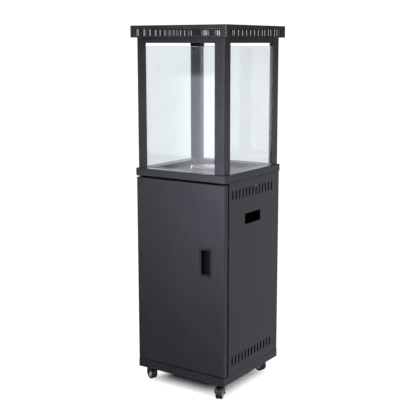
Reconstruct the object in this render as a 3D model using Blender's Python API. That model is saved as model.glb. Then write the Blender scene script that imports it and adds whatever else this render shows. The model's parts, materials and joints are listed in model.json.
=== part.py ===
"""Square glass-sided gas patio heater on casters: metres, +Z up, door facing -Y, origin on the floor."""
import math

import bmesh
import bpy
from mathutils import Matrix, Vector

# Overall sizes
WIDTH = 0.400
CABINET_TALL = 0.738
CHAMBER_TALL = 0.4897
CAP_TALL = 0.044
WHEEL_R = 0.025
CASTER_HEAD = 0.012
FLOOR_CLEAR = 2 * WHEEL_R + CASTER_HEAD

# Cabinet
HALF = WIDTH / 2
SHEET = 0.0012
GAP = 0.0003
TRAY_TALL = 0.031
TRAY_TOP = FLOOR_CLEAR + TRAY_TALL
TRAY_HALF = HALF + 0.001
TRAY_SHEET = 0.0015
TRAY_LIP = 0.016
DECK_BOTTOM = TRAY_TOP + CABINET_TALL
DECK_TOP = DECK_BOTTOM + 0.028
DECK_HALF = HALF + 0.002
DECK_SHEET = 0.0016
DOOR_BOTTOM = TRAY_TOP + 0.0025
DOOR_TOP = DECK_BOTTOM - 0.0075
DOOR_DEEP = 0.023
DOOR_LIP = 0.012
SIDE_GAP = 0.009
PAN_DEEP = 0.016
BACK_RETURN = 0.025
PANEL_BOTTOM = TRAY_TOP + GAP
PANEL_TOP = DECK_BOTTOM - 0.0014

# Vents and hand holes
VENT_PITCH = 0.0236
VENTS = 2 * int((WIDTH - 0.090) / VENT_PITCH / 2) + 1
BACK_VENTS = VENTS - 4
VENT_WIDE = 0.009
VENT_TALL = 0.035
VENT_LOW = TRAY_TOP + 0.052
VENT_HIGH = DECK_BOTTOM - 0.051
HAND_WIDE = 0.113
HAND_TALL = 0.041
HAND_Z = DECK_BOTTOM - 0.152

# Door pull and hinge
PULL_X = HALF - 0.082
PULL_Z = DECK_BOTTOM - 0.302
PULL_WIDE = 0.037
PULL_TALL = 0.092
PULL_RIM = 0.0095
HINGE_X = -HALF + 0.010
HINGE_Y = -HALF + 0.012
PIN_R = 0.003

# Glass chamber
POST_OUT = HALF - 0.0055
POST_LEG = 0.041
POST_SHEET = 0.002
POST_TOP = DECK_TOP + CHAMBER_TALL
GLASS_THICK = 0.005
GLASS_OUT = POST_OUT - POST_SHEET - 0.0015
GLASS_BOTTOM = DECK_TOP + GAP
GLASS_TOP = POST_TOP - 0.0317
RETAINER = 0.014
FRAME_BOTTOM = POST_TOP - 0.0197

# Cap
CAP_HALF = HALF + 0.012
CAP_BOTTOM = POST_TOP + GAP
CAP_TOP = CAP_BOTTOM + CAP_TALL
CAP_SHEET = 0.0015
CAP_MOUTH = HALF - 0.050
CAP_SLOT_PITCH = 0.0092
CAP_SLOTS = int((2 * CAP_HALF - 0.040) / CAP_SLOT_PITCH)
CAP_SLOT_WIDE = 0.004
CAP_SLOT_LOW = CAP_BOTTOM + 0.0055
CAP_SLOT_HIGH = CAP_TOP - 0.0125

# Burner
TUB_HALF = HALF - 0.057
TUB_FLOOR = DECK_TOP - 0.016
TUB_SHEET = 0.0012
BURNER_R = 0.052
PILOT_X = -BURNER_R - 0.021

# Controls
PANEL_Y = -HALF + 0.050
PANEL_HALF = HALF - 0.060
VALVE_X = -0.040
VALVE_Z = DECK_BOTTOM - 0.050
KNOB_R = 0.022
IGNITER_X = 0.050

# Casters
CASTER_AT = HALF - 0.041
CASTER_TRAIL = 0.016
AXLE_R = 0.003
LEG_IN = 0.0165
LEG_OUT = 0.0195

for old in list(bpy.data.objects):
    bpy.data.objects.remove(old, do_unlink=True)

scene = bpy.context.scene


def from_bmesh(name, bm):
    bmesh.ops.recalc_face_normals(bm, faces=bm.faces)
    mesh = bpy.data.meshes.new(name)
    bm.to_mesh(mesh)
    bm.free()
    obj = bpy.data.objects.new(name, mesh)
    scene.collection.objects.link(obj)
    return obj


def box(name, x0, x1, y0, y1, z0, z1, radius=0.0, edges=None, segments=2):
    """A block; edges picks which get the bend radius by their direction and place."""
    bm = bmesh.new()
    bmesh.ops.create_cube(bm, size=1.0)
    for v in bm.verts:
        v.co.x = x0 if v.co.x < 0 else x1
        v.co.y = y0 if v.co.y < 0 else y1
        v.co.z = z0 if v.co.z < 0 else z1
    if radius:
        chosen = [e for e in bm.edges if edges is None or edges(e)]
        bmesh.ops.bevel(
            bm, geom=chosen, offset=radius, offset_type="OFFSET", segments=segments,
            profile=0.5, affect="EDGES", clamp_overlap=True,
        )
    return from_bmesh(name, bm)


def prism(name, outline, z0, z1):
    """A closed outline in plan, drawn up from z0 to z1."""
    bm = bmesh.new()
    low = [bm.verts.new((x, y, z0)) for x, y in outline]
    high = [bm.verts.new((x, y, z1)) for x, y in outline]
    bm.faces.new(low[::-1])
    bm.faces.new(high)
    count = len(outline)
    for i in range(count):
        j = (i + 1) % count
        bm.faces.new((low[i], low[j], high[j], high[i]))
    return from_bmesh(name, bm)


def lathe(name, profile, segments=24, place=None):
    """A closed (radius, height) outline turned about Z; points at radius 0 close the ends."""
    bm = bmesh.new()
    rings = []
    for r, z in profile:
        if r <= 1e-7:
            rings.append([bm.verts.new((0.0, 0.0, z))])
            continue
        ring = []
        for k in range(segments):
            a = 2 * math.pi * k / segments
            ring.append(bm.verts.new((r * math.cos(a), r * math.sin(a), z)))
        rings.append(ring)
    count = len(profile)
    for i in range(count):
        a, b = rings[i], rings[(i + 1) % count]
        if len(a) == 1 and len(b) == 1:
            continue
        for k in range(segments):
            n = (k + 1) % segments
            if len(a) == 1:
                bm.faces.new((a[0], b[k], b[n]))
            elif len(b) == 1:
                bm.faces.new((a[k], b[0], a[n]))
            else:
                bm.faces.new((a[k], b[k], b[n], a[n]))
    obj = from_bmesh(name, bm)
    if place is not None:
        obj.data.transform(place)
    return obj


def rod(name, radius, start, end, segments=20):
    start, end = Vector(start), Vector(end)
    along = end - start
    place = Matrix.Translation(start) @ along.to_track_quat("Z", "Y").to_matrix().to_4x4()
    outline = [(0, 0), (radius, 0), (radius, along.length), (0, along.length)]
    return lathe(name, outline, segments, place)


def tube_path(name, points, radius, sides=7, steps=4):
    """A round tube or lead: straight at both ends, and a smooth curve through the points between."""
    pts = [Vector(p) for p in points]
    line = [pts[0]]
    for i in range(1, len(pts) - 2):
        p0, p1, p2, p3 = pts[i - 1:i + 3]
        for s in range(steps):
            t = s / steps
            line.append(0.5 * (
                2 * p1 + (p2 - p0) * t + (2 * p0 - 5 * p1 + 4 * p2 - p3) * t * t
                + (3 * p1 - p0 - 3 * p2 + p3) * t ** 3
            ))
    line += [pts[-2], pts[-1]]
    bm = bmesh.new()
    side = None
    rings = []
    for i, point in enumerate(line):
        ahead = (line[min(i + 1, len(line) - 1)] - line[max(i - 1, 0)]).normalized()
        if side is None:
            side = ahead.orthogonal().normalized()
        side = (side - ahead * side.dot(ahead)).normalized()
        other = ahead.cross(side)
        ring = []
        for k in range(sides):
            a = 2 * math.pi * k / sides
            ring.append(bm.verts.new(point + radius * (math.cos(a) * side + math.sin(a) * other)))
        rings.append(ring)
    for a, b in zip(rings, rings[1:]):
        for k in range(sides):
            n = (k + 1) % sides
            bm.faces.new((a[k], a[n], b[n], b[k]))
    bm.faces.new(rings[0][::-1])
    bm.faces.new(rings[-1])
    return from_bmesh(name, bm)


def combine(obj, tools, operation):
    """Cuts the tools from the piece, or joins them to it, then drops the tools."""
    for tool in tools:
        mod = obj.modifiers.new("tool", "BOOLEAN")
        mod.operation = operation
        mod.solver = "EXACT"
        mod.object = tool
    graph = bpy.context.evaluated_depsgraph_get()
    graph.update()
    made = bpy.data.meshes.new_from_object(obj.evaluated_get(graph))
    obj.modifiers.clear()
    obj.data = made
    for tool in tools:
        bpy.data.objects.remove(tool, do_unlink=True)
    return obj


def cut(obj, *tools):
    return combine(obj, tools, "DIFFERENCE")


def join(obj, *tools):
    return combine(obj, tools, "UNION")


def slot_tool(name, centres, wide, tall, start, end, across, corner=0.29):
    """Slots with clipped corners in one tool. across is X for a wall facing X and Y for one facing Y."""
    bm = bmesh.new()
    c = min(wide, tall) * corner
    w, t = wide / 2, tall / 2
    ring = [(-w, -t + c), (-w + c, -t), (w - c, -t), (w, -t + c),
            (w, t - c), (w - c, t), (-w + c, t), (-w, t - c)]
    for u, z in centres:
        ends = []
        for depth in (start, end):
            row = []
            for a, b in ring:
                at = (depth, u + a, z + b) if across == "X" else (u + a, depth, z + b)
                row.append(bm.verts.new(at))
            ends.append(row)
        bm.faces.new(ends[0])
        bm.faces.new(ends[1][::-1])
        for i in range(8):
            j = (i + 1) % 8
            bm.faces.new((ends[0][i], ends[0][j], ends[1][j], ends[1][i]))
    return from_bmesh(name, bm)


def row_of(count, pitch, z):
    return [((i - (count - 1) / 2) * pitch, z) for i in range(count)]


def upright(e):
    a, b = (v.co for v in e.verts)
    return abs(a.z - b.z) > 0.001


# Base tray: floor, walls and an inward lip that carries the panels
base_tray = box("base_tray", -TRAY_HALF, TRAY_HALF, -TRAY_HALF, TRAY_HALF, FLOOR_CLEAR, TRAY_TOP,
                0.0022, upright)
t = TRAY_HALF - TRAY_SHEET
lip = HALF - TRAY_LIP
cut(base_tray,
    box("c1", -t, t, -t, t, FLOOR_CLEAR + TRAY_SHEET, TRAY_TOP - TRAY_SHEET),
    box("c2", -lip, lip, -lip, lip, TRAY_TOP - 0.008, TRAY_TOP + 0.01))


# Side panels: pans folded inward, with vents and a hand hole
def side_panel(name, sign):
    outer, inner = sign * HALF, sign * (HALF - PAN_DEEP)
    x0, x1 = min(outer, inner), max(outer, inner)
    y0, y1 = -HALF + DOOR_DEEP + SIDE_GAP, HALF - BACK_RETURN - GAP
    pan = box(name, x0, x1, y0, y1, PANEL_BOTTOM, PANEL_TOP)
    c0, c1 = (x0 - 0.01, x1 - SHEET) if sign > 0 else (x0 + SHEET, x1 + 0.01)
    holes = row_of(VENTS, VENT_PITCH, VENT_LOW) + row_of(VENTS, VENT_PITCH, VENT_HIGH)
    vents = slot_tool("c2", holes, VENT_WIDE, VENT_TALL, outer - 0.01, outer + 0.01, "X")
    hand = slot_tool("c3", [(0.0, HAND_Z)], HAND_WIDE, HAND_TALL, outer - 0.01, outer + 0.01, "X", 0.07)
    return cut(pan,
               box("c1", c0, c1, y0 + SHEET, y1 - SHEET, PANEL_BOTTOM + SHEET, PANEL_TOP - SHEET),
               vents, hand)


right_panel = side_panel("right_panel", 1)
left_panel = side_panel("left_panel", -1)

# Back panel with returns round both corners, vented like the sides
back_panel = box("back_panel", -HALF, HALF, HALF - BACK_RETURN, HALF, PANEL_BOTTOM, PANEL_TOP,
                 0.002, lambda e: upright(e) and e.verts[0].co.y > HALF - 0.001)
cut(back_panel,
    box("c1", -HALF + SHEET, HALF - SHEET, HALF - BACK_RETURN - 0.01, HALF - SHEET,
        PANEL_BOTTOM + SHEET, PANEL_TOP - SHEET),
    slot_tool("c2", row_of(BACK_VENTS, VENT_PITCH, VENT_LOW) + row_of(BACK_VENTS, VENT_PITCH, VENT_HIGH),
              VENT_WIDE, VENT_TALL, HALF - 0.01, HALF + 0.01, "Y"))

# Door: a pan with a folded lip, holes for the pull and both hinge pins
door = box("door", -HALF, HALF, -HALF, -HALF + DOOR_DEEP, DOOR_BOTTOM, DOOR_TOP,
           0.0018, lambda e: all(v.co.y < -HALF + 0.001 for v in e.verts))
d0, d1 = -HALF + SHEET, HALF - SHEET
e0, e1 = -HALF + DOOR_LIP, HALF - DOOR_LIP
cut(door,
    box("c1", d0, d1, -HALF + SHEET, -HALF + DOOR_DEEP - SHEET, DOOR_BOTTOM + SHEET, DOOR_TOP - SHEET),
    box("c2", e0, e1, -HALF + DOOR_DEEP - 0.006, -HALF + DOOR_DEEP + 0.01,
        DOOR_BOTTOM + DOOR_LIP, DOOR_TOP - DOOR_LIP),
    box("c3", PULL_X - PULL_WIDE / 2 - 0.0018, PULL_X + PULL_WIDE / 2 + 0.0018, -HALF - 0.01,
        -HALF + 0.006, PULL_Z - PULL_TALL / 2 - 0.0018, PULL_Z + PULL_TALL / 2 + 0.0018),
    rod("c4", PIN_R + 0.0002, (HINGE_X, HINGE_Y, DOOR_BOTTOM - 0.01), (HINGE_X, HINGE_Y, DOOR_BOTTOM + 0.006)),
    rod("c5", PIN_R + 0.0002, (HINGE_X, HINGE_Y, DOOR_TOP - 0.006), (HINGE_X, HINGE_Y, DOOR_TOP + 0.01)))

# Recessed pull: a rim on the door's face and a closed cup behind it
w, h = PULL_WIDE / 2, PULL_TALL / 2
rim = PULL_RIM
door_pull = box("door_pull", PULL_X - w - rim, PULL_X + w + rim, -HALF - 0.0012, -HALF - GAP,
                PULL_Z - h - rim, PULL_Z + h + rim)
join(door_pull, box("c1", PULL_X - w - 0.0015, PULL_X + w + 0.0015, -HALF - 0.0008, -HALF + 0.0190,
                    PULL_Z - h - 0.0015, PULL_Z + h + 0.0015))
cut(door_pull, box("c1", PULL_X - w, PULL_X + w, -HALF - 0.01, -HALF + 0.0175, PULL_Z - h, PULL_Z + h))

# Hinge brackets with their pins
hx0, hx1, hy0, hy1 = -HALF + 0.001, -HALF + 0.026, -HALF + 0.001, -HALF + DOOR_DEEP + SIDE_GAP - 0.0005
lower_hinge = box("lower_hinge", hx0, hx1, hy0, hy1, TRAY_TOP + GAP, TRAY_TOP + 0.0018)
join(lower_hinge, rod("c1", PIN_R, (HINGE_X, HINGE_Y, TRAY_TOP + 0.001), (HINGE_X, HINGE_Y, DOOR_BOTTOM + 0.012)))
upper_hinge = box("upper_hinge", hx0, hx1, hy0, hy1, DECK_BOTTOM - 0.0028, DECK_BOTTOM - GAP)
join(upper_hinge, rod("c1", PIN_R, (HINGE_X, HINGE_Y, DOOR_TOP - 0.012), (HINGE_X, HINGE_Y, DECK_BOTTOM - 0.001)))

# Magnetic catch in the gap between the door's lip and the right panel
door_catch = box("door_catch", HALF - 0.0155, HALF - 0.0025, -HALF + DOOR_DEEP + 0.0004,
                 -HALF + DOOR_DEEP + SIDE_GAP - GAP, PULL_Z + 0.071, PULL_Z + 0.111)

# Deck: folded plate with the burner opening
deck = box("deck", -DECK_HALF, DECK_HALF, -DECK_HALF, DECK_HALF, DECK_BOTTOM, DECK_TOP,
           0.002, lambda e: upright(e) or all(v.co.z > DECK_TOP - 0.001 for v in e.verts))
t = DECK_HALF - DECK_SHEET
d_in = HALF - 0.014
tub_out = TUB_HALF + TUB_SHEET
cut(deck,
    box("c1", -t, t, -t, t, DECK_BOTTOM + DECK_SHEET, DECK_TOP - DECK_SHEET),
    box("c2", -d_in, d_in, -d_in, d_in, DECK_BOTTOM - 0.01, DECK_BOTTOM + 0.006),
    box("c3", -tub_out - GAP, tub_out + GAP, -tub_out - GAP, tub_out + GAP, DECK_TOP - 0.006, DECK_TOP + 0.01))

# Burner tub hanging in the deck's opening
burner_tub = box("burner_tub", -tub_out, tub_out, -tub_out, tub_out, TUB_FLOOR - TUB_SHEET, DECK_TOP + 0.0008)
join(burner_tub, box("c1", -tub_out - 0.012, tub_out + 0.012, -tub_out - 0.012, tub_out + 0.012,
                     DECK_TOP + GAP, DECK_TOP + GAP + 0.0010))
cut(burner_tub,
    box("c2", -TUB_HALF, TUB_HALF, -TUB_HALF, TUB_HALF, TUB_FLOOR, DECK_TOP + 0.01),
    rod("c3", 0.0125, (0, 0, TUB_FLOOR - 0.01), (0, 0, TUB_FLOOR + 0.01)),
    rod("c4", 0.0046, (PILOT_X, 0, TUB_FLOOR - 0.01), (PILOT_X, 0, TUB_FLOOR + 0.01), 12),
    rod("c5", 0.0040, (PILOT_X, -0.013, TUB_FLOOR - 0.01), (PILOT_X, -0.013, TUB_FLOOR + 0.01), 12),
    rod("c6", 0.0032, (PILOT_X, 0.012, TUB_FLOOR - 0.01), (PILOT_X, 0.012, TUB_FLOOR + 0.01), 12))


# Corner posts: folded angles on a narrower foot
def angle_outline(out, leg, sheet, radius, sx, sy):
    """A folded angle whose outer corner is at (sx*out, sy*out), with a rounded bend."""
    pts = [(out, out - leg), (out, out - radius)]
    for k in range(1, 4):
        a = math.pi / 2 * k / 4
        pts.append((out - radius + radius * math.cos(a), out - radius + radius * math.sin(a)))
    pts += [(out - radius, out), (out - leg, out), (out - leg, out - sheet),
            (out - sheet, out - sheet), (out - sheet, out - leg)]
    pts = [(sx * x, sy * y) for x, y in pts]
    return pts if sx * sy > 0 else pts[::-1]


def post(name, sx, sy):
    foot = DECK_TOP + 0.0026
    obj = prism(name, angle_outline(POST_OUT, POST_LEG, POST_SHEET, 0.003, sx, sy), foot, POST_TOP)
    neck = prism("c1", angle_outline(POST_OUT - 0.0012, POST_LEG - 0.003, 0.0018, 0.0015, sx, sy),
                 DECK_TOP + GAP, foot + 0.004)
    return join(obj, neck)


post_front_right = post("post_front_right", 1, -1)
post_front_left = post("post_front_left", -1, -1)
post_back_right = post("post_back_right", 1, 1)
post_back_left = post("post_back_left", -1, 1)

# Glass panes
g1, g0 = GLASS_OUT, GLASS_OUT - GLASS_THICK
side = g0 - 0.0005


def pane(name, x0, x1, y0, y1):
    return box(name, x0, x1, y0, y1, GLASS_BOTTOM, GLASS_TOP, 0.0008, upright, 1)


glass_front = pane("glass_front", -side, side, -g1, -g0)
glass_back = pane("glass_back", -side, side, g0, g1)
glass_left = pane("glass_left", -g1, -g0, -side, side)
glass_right = pane("glass_right", g0, g1, -side, side)


# Inner angles that hold the panes against the posts
def retainer(name, sx, sy):
    outline = angle_outline(g0 - GAP, RETAINER, SHEET, 0.0012, sx, sy)
    return prism(name, outline, GLASS_BOTTOM, FRAME_BOTTOM - GAP)


retainer_front_right = retainer("retainer_front_right", 1, -1)
retainer_front_left = retainer("retainer_front_left", -1, -1)
retainer_back_right = retainer("retainer_back_right", 1, 1)
retainer_back_left = retainer("retainer_back_left", -1, 1)

# Top rails, one welded ring inside the posts' heads
f = POST_OUT - POST_SHEET - GAP
top_frame = box("top_frame", -f, f, -f, f, FRAME_BOTTOM, POST_TOP)
t = f - 0.0018
f_in = HALF - 0.032
cut(top_frame,
    box("c1", -t, t, -t, t, FRAME_BOTTOM - 0.01, POST_TOP - 0.0018),
    box("c2", -f_in, f_in, -f_in, f_in, POST_TOP - 0.01, POST_TOP + 0.01))

# Cap: folded hood with a vent band on each side
cap = box("cap", -CAP_HALF, CAP_HALF, -CAP_HALF, CAP_HALF, CAP_BOTTOM, CAP_TOP,
          0.002, lambda e: upright(e) or all(v.co.z > CAP_TOP - 0.001 for v in e.verts))
t = CAP_HALF - CAP_SHEET
slots = row_of(CAP_SLOTS, CAP_SLOT_PITCH, (CAP_SLOT_LOW + CAP_SLOT_HIGH) / 2)
tall = CAP_SLOT_HIGH - CAP_SLOT_LOW
cut(cap,
    box("c1", -t, t, -t, t, CAP_BOTTOM + CAP_SHEET, CAP_TOP - CAP_SHEET),
    box("c2", -CAP_MOUTH, CAP_MOUTH, -CAP_MOUTH, CAP_MOUTH, CAP_BOTTOM - 0.01, CAP_BOTTOM + 0.006),
    slot_tool("c3", slots, CAP_SLOT_WIDE, tall, CAP_HALF - 0.006, CAP_HALF + 0.006, "X"),
    slot_tool("c4", slots, CAP_SLOT_WIDE, tall, -CAP_HALF - 0.006, -CAP_HALF + 0.006, "X"),
    slot_tool("c5", slots, CAP_SLOT_WIDE, tall, CAP_HALF - 0.006, CAP_HALF + 0.006, "Y"),
    slot_tool("c6", slots, CAP_SLOT_WIDE, tall, -CAP_HALF - 0.006, -CAP_HALF + 0.006, "Y"))

# Heat shield on four spacers under the cap
sh_top = CAP_TOP - CAP_SHEET - GAP
sh = CAP_MOUTH - 0.015
heat_shield = box("heat_shield", -sh, sh, -sh, sh, sh_top - 0.0080, sh_top - 0.0068)
join(heat_shield, *[
    rod("c%d" % i, 0.004, (x, y, sh_top - 0.0075), (x, y, sh_top), 12)
    for i, (x, y) in enumerate([(sx * (sh - 0.025), sy * (sh - 0.025)) for sx in (-1, 1) for sy in (-1, 1)])
])

# Burner: cup with its mixing tube, and the ported cap on top
cup_z = TUB_FLOOR + GAP
burner_base = lathe("burner_base", [
    (0.0100, cup_z - 0.052), (0.0120, cup_z - 0.052), (0.0120, cup_z), (BURNER_R + 0.006, cup_z),
    (BURNER_R + 0.006, cup_z + 0.0012), (BURNER_R, cup_z + 0.0012), (BURNER_R, cup_z + 0.0095),
    (BURNER_R - 0.0015, cup_z + 0.0095), (BURNER_R - 0.0015, cup_z + 0.0022), (0.0100, cup_z + 0.0022),
], 24)
burner_cap = lathe("burner_cap", [
    (0, cup_z + 0.0120), (BURNER_R - 0.0020, cup_z + 0.0120), (BURNER_R - 0.0020, cup_z + 0.0100 - 0.0040),
    (BURNER_R - 0.0035, cup_z + 0.0060), (BURNER_R - 0.0035, cup_z + 0.0110), (0, cup_z + 0.0110),
][::-1], 24)
join(burner_cap, lathe("c1", [
    (0, cup_z + 0.0098), (BURNER_R + 0.002, cup_z + 0.0098), (BURNER_R + 0.002, cup_z + 0.0125),
    (BURNER_R - 0.002, cup_z + 0.0145), (0, cup_z + 0.0150),
], 24))
cut(burner_cap, lathe("c1", [
    (0, cup_z), (BURNER_R - 0.0035, cup_z), (BURNER_R - 0.0035, cup_z + 0.0112), (0, cup_z + 0.0112),
], 24))
tube_foot = cup_z - 0.052
orifice = lathe("orifice", [
    (0.0008, tube_foot - 0.018), (0.0085, tube_foot - 0.018), (0.0085, tube_foot - 0.0060),
    (0.0050, tube_foot - 0.0060), (0.0050, tube_foot - 0.0010), (0.0092, tube_foot - 0.0010),
    (0.0092, tube_foot + 0.0040), (0.0030, tube_foot + 0.0060), (0.0008, tube_foot + 0.0060),
], 18)

# Pilot group beside the burner
px = PILOT_X
pilot_bracket = box("pilot_bracket", px - 0.0180, px - 0.0062, -0.019, 0.018, cup_z, cup_z + 0.0012)
join(pilot_bracket, box("c1", px - 0.0074, px - 0.0062, -0.019, 0.018, cup_z + 0.0005, cup_z + 0.0150))
pilot_nozzle = lathe("pilot_nozzle", [
    (0, -0.0110), (0.0042, -0.0110), (0.0042, 0.0100), (0.0030, 0.0120), (0.0030, 0.0140), (0, 0.0140),
], 16, Matrix.Translation((px, 0, TUB_FLOOR)))
electrode = lathe("electrode", [
    (0, -0.0150), (0.0034, -0.0150), (0.0034, 0.0120), (0.0010, 0.0130), (0.0010, 0.0190), (0, 0.0190),
], 14, Matrix.Translation((px, -0.013, TUB_FLOOR)))
thermocouple = lathe("thermocouple", [
    (0, -0.0150), (0.0027, -0.0150), (0.0027, 0.0130), (0.0020, 0.0190), (0, 0.0200),
], 14, Matrix.Translation((px, 0.012, TUB_FLOOR)))

# Control panel behind the door, hung from the deck
cp_top = DECK_TOP - DECK_SHEET - GAP
control_panel = box("control_panel", -PANEL_HALF, PANEL_HALF, PANEL_Y, PANEL_Y + SHEET,
                    DECK_BOTTOM - 0.089, cp_top)
join(control_panel, box("c1", -PANEL_HALF, PANEL_HALF, PANEL_Y - 0.014, PANEL_Y + 0.0006, cp_top - SHEET, cp_top))
cut(control_panel,
    rod("c2", 0.0060, (VALVE_X, PANEL_Y - 0.005, VALVE_Z), (VALVE_X, PANEL_Y + 0.005, VALVE_Z)),
    rod("c3", 0.0090, (IGNITER_X, PANEL_Y - 0.005, VALVE_Z), (IGNITER_X, PANEL_Y + 0.005, VALVE_Z)))
back = PANEL_Y + SHEET + GAP
gas_valve = box("gas_valve", VALVE_X - 0.021, VALVE_X + 0.021, back + 0.004, back + 0.040,
                VALVE_Z - 0.020, VALVE_Z + 0.020, 0.003)
join(gas_valve,
     rod("c1", 0.0120, (VALVE_X, back, VALVE_Z), (VALVE_X, back + 0.010, VALVE_Z)),
     rod("c2", 0.0065, (VALVE_X, back + 0.035, VALVE_Z), (VALVE_X, back + 0.046, VALVE_Z), 14),
     rod("c3", 0.0040, (VALVE_X - 0.013, back + 0.035, VALVE_Z + 0.010),
         (VALVE_X - 0.013, back + 0.044, VALVE_Z + 0.010), 12),
     rod("c4", 0.0040, (VALVE_X + 0.013, back + 0.035, VALVE_Z + 0.010),
         (VALVE_X + 0.013, back + 0.044, VALVE_Z + 0.010), 12))
cut(gas_valve, rod("c1", 0.0045, (VALVE_X, back - 0.01, VALVE_Z), (VALVE_X, back + 0.020, VALVE_Z)))
stem_tip = PANEL_Y - 0.016
valve_stem = lathe("valve_stem", [(0, 0), (0.0040, 0), (0.0040, 0.031), (0, 0.031)], 18,
                   Matrix.Translation((VALVE_X, stem_tip, VALVE_Z)) @ Matrix.Rotation(-math.pi / 2, 4, "X"))
# The knob's skirt is cut by six finger scallops and bored for the stem
knob_place = Matrix.Translation((VALVE_X, 0, VALVE_Z)) @ Matrix.Rotation(-math.pi / 2, 4, "X")
kf = PANEL_Y - 0.0235
control_knob = lathe("control_knob", [
    (0, kf), (KNOB_R - 0.006, kf), (KNOB_R - 0.004, kf + 0.0015), (KNOB_R - 0.003, kf + 0.013),
    (KNOB_R, kf + 0.015), (KNOB_R, kf + 0.0185), (0, kf + 0.0185),
], 30, knob_place)
cut(control_knob, rod("c1", 0.0044, (VALVE_X, stem_tip - GAP, VALVE_Z), (VALVE_X, PANEL_Y, VALVE_Z)), *[
    rod("s%d" % i, 0.0040,
        (VALVE_X + 0.0215 * math.cos(a), kf - 0.005, VALVE_Z + 0.0215 * math.sin(a)),
        (VALVE_X + 0.0215 * math.cos(a), kf + 0.012, VALVE_Z + 0.0215 * math.sin(a)), 12)
    for i, a in enumerate([math.pi / 3 * k + 0.2 for k in range(6)])
])
igniter_place = Matrix.Translation((IGNITER_X, 0, VALVE_Z)) @ Matrix.Rotation(-math.pi / 2, 4, "X")
igniter_body = lathe("igniter_body", [
    (0, back + 0.042), (0.0040, back + 0.042), (0.0040, back + 0.036), (0.0110, back + 0.034),
    (0.0110, back), (0.0084, back), (0.0084, back + 0.024), (0, back + 0.024),
], 24, igniter_place)
igniter_button = lathe("igniter_button", [
    (0, PANEL_Y - 0.0100), (0.0068, PANEL_Y - 0.0100), (0.0080, PANEL_Y - 0.0088),
    (0.0080, back + 0.0160), (0, back + 0.0160),
], 24, igniter_place)
tilt_switch = box("tilt_switch", 0.088, 0.122, back, back + 0.020, VALVE_Z - 0.012, VALVE_Z + 0.012, 0.002)

# Brass hose fitting under the valve, pointing down to the bottle space
vy = back + 0.022
inlet_fitting = lathe("inlet_fitting", [
    (0.0025, 0), (0.0080, 0), (0.0080, -0.010), (0.0050, -0.011), (0.0062, -0.014), (0.0048, -0.020),
    (0.0062, -0.023), (0.0048, -0.029), (0.0062, -0.032), (0.0044, -0.038), (0.0025, -0.038),
], 18, Matrix.Translation((VALVE_X, vy, VALVE_Z - 0.020 - GAP)))

# Gas and pilot tubes, and the two leads
valve_rear = back + 0.046 + GAP
foot = tube_foot - 0.018 - GAP
supply_tube = tube_path("supply_tube", [
    (VALVE_X, valve_rear, VALVE_Z), (VALVE_X, valve_rear + 0.012, VALVE_Z),
    (VALVE_X + 0.008, valve_rear + 0.045, VALVE_Z - 0.030), (-0.010, -0.020, foot - 0.026),
    (-0.001, -0.002, foot - 0.020), (0, 0, foot - 0.010), (0, 0, foot),
], 0.0040)
small = back + 0.044 + GAP
pilot_tube = tube_path("pilot_tube", [
    (VALVE_X - 0.013, small, VALVE_Z + 0.010), (VALVE_X - 0.013, small + 0.012, VALVE_Z + 0.010),
    (px - 0.002, -0.050, VALVE_Z + 0.006), (px, -0.010, VALVE_Z + 0.014),
    (px, 0, TUB_FLOOR - 0.018), (px, 0, TUB_FLOOR - 0.0110 - GAP),
], 0.0020)
thermocouple_lead = tube_path("thermocouple_lead", [
    (VALVE_X + 0.013, small, VALVE_Z + 0.010), (VALVE_X + 0.013, small + 0.012, VALVE_Z + 0.010),
    (VALVE_X + 0.004, -0.040, VALVE_Z - 0.006), (px + 0.006, 0.006, VALVE_Z + 0.004),
    (px, 0.012, TUB_FLOOR - 0.025), (px, 0.012, TUB_FLOOR - 0.0150 - GAP),
], 0.0013, 6)
ignition_wire = tube_path("ignition_wire", [
    (IGNITER_X, back + 0.042 + GAP, VALVE_Z), (IGNITER_X, back + 0.054, VALVE_Z),
    (0.010, -0.060, VALVE_Z + 0.012), (-0.026, -0.034, VALVE_Z + 0.014),
    (px + 0.006, -0.018, VALVE_Z + 0.018), (px, -0.013, TUB_FLOOR - 0.023),
    (px, -0.013, TUB_FLOOR - 0.0150 - GAP),
], 0.0016, 6)


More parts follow.
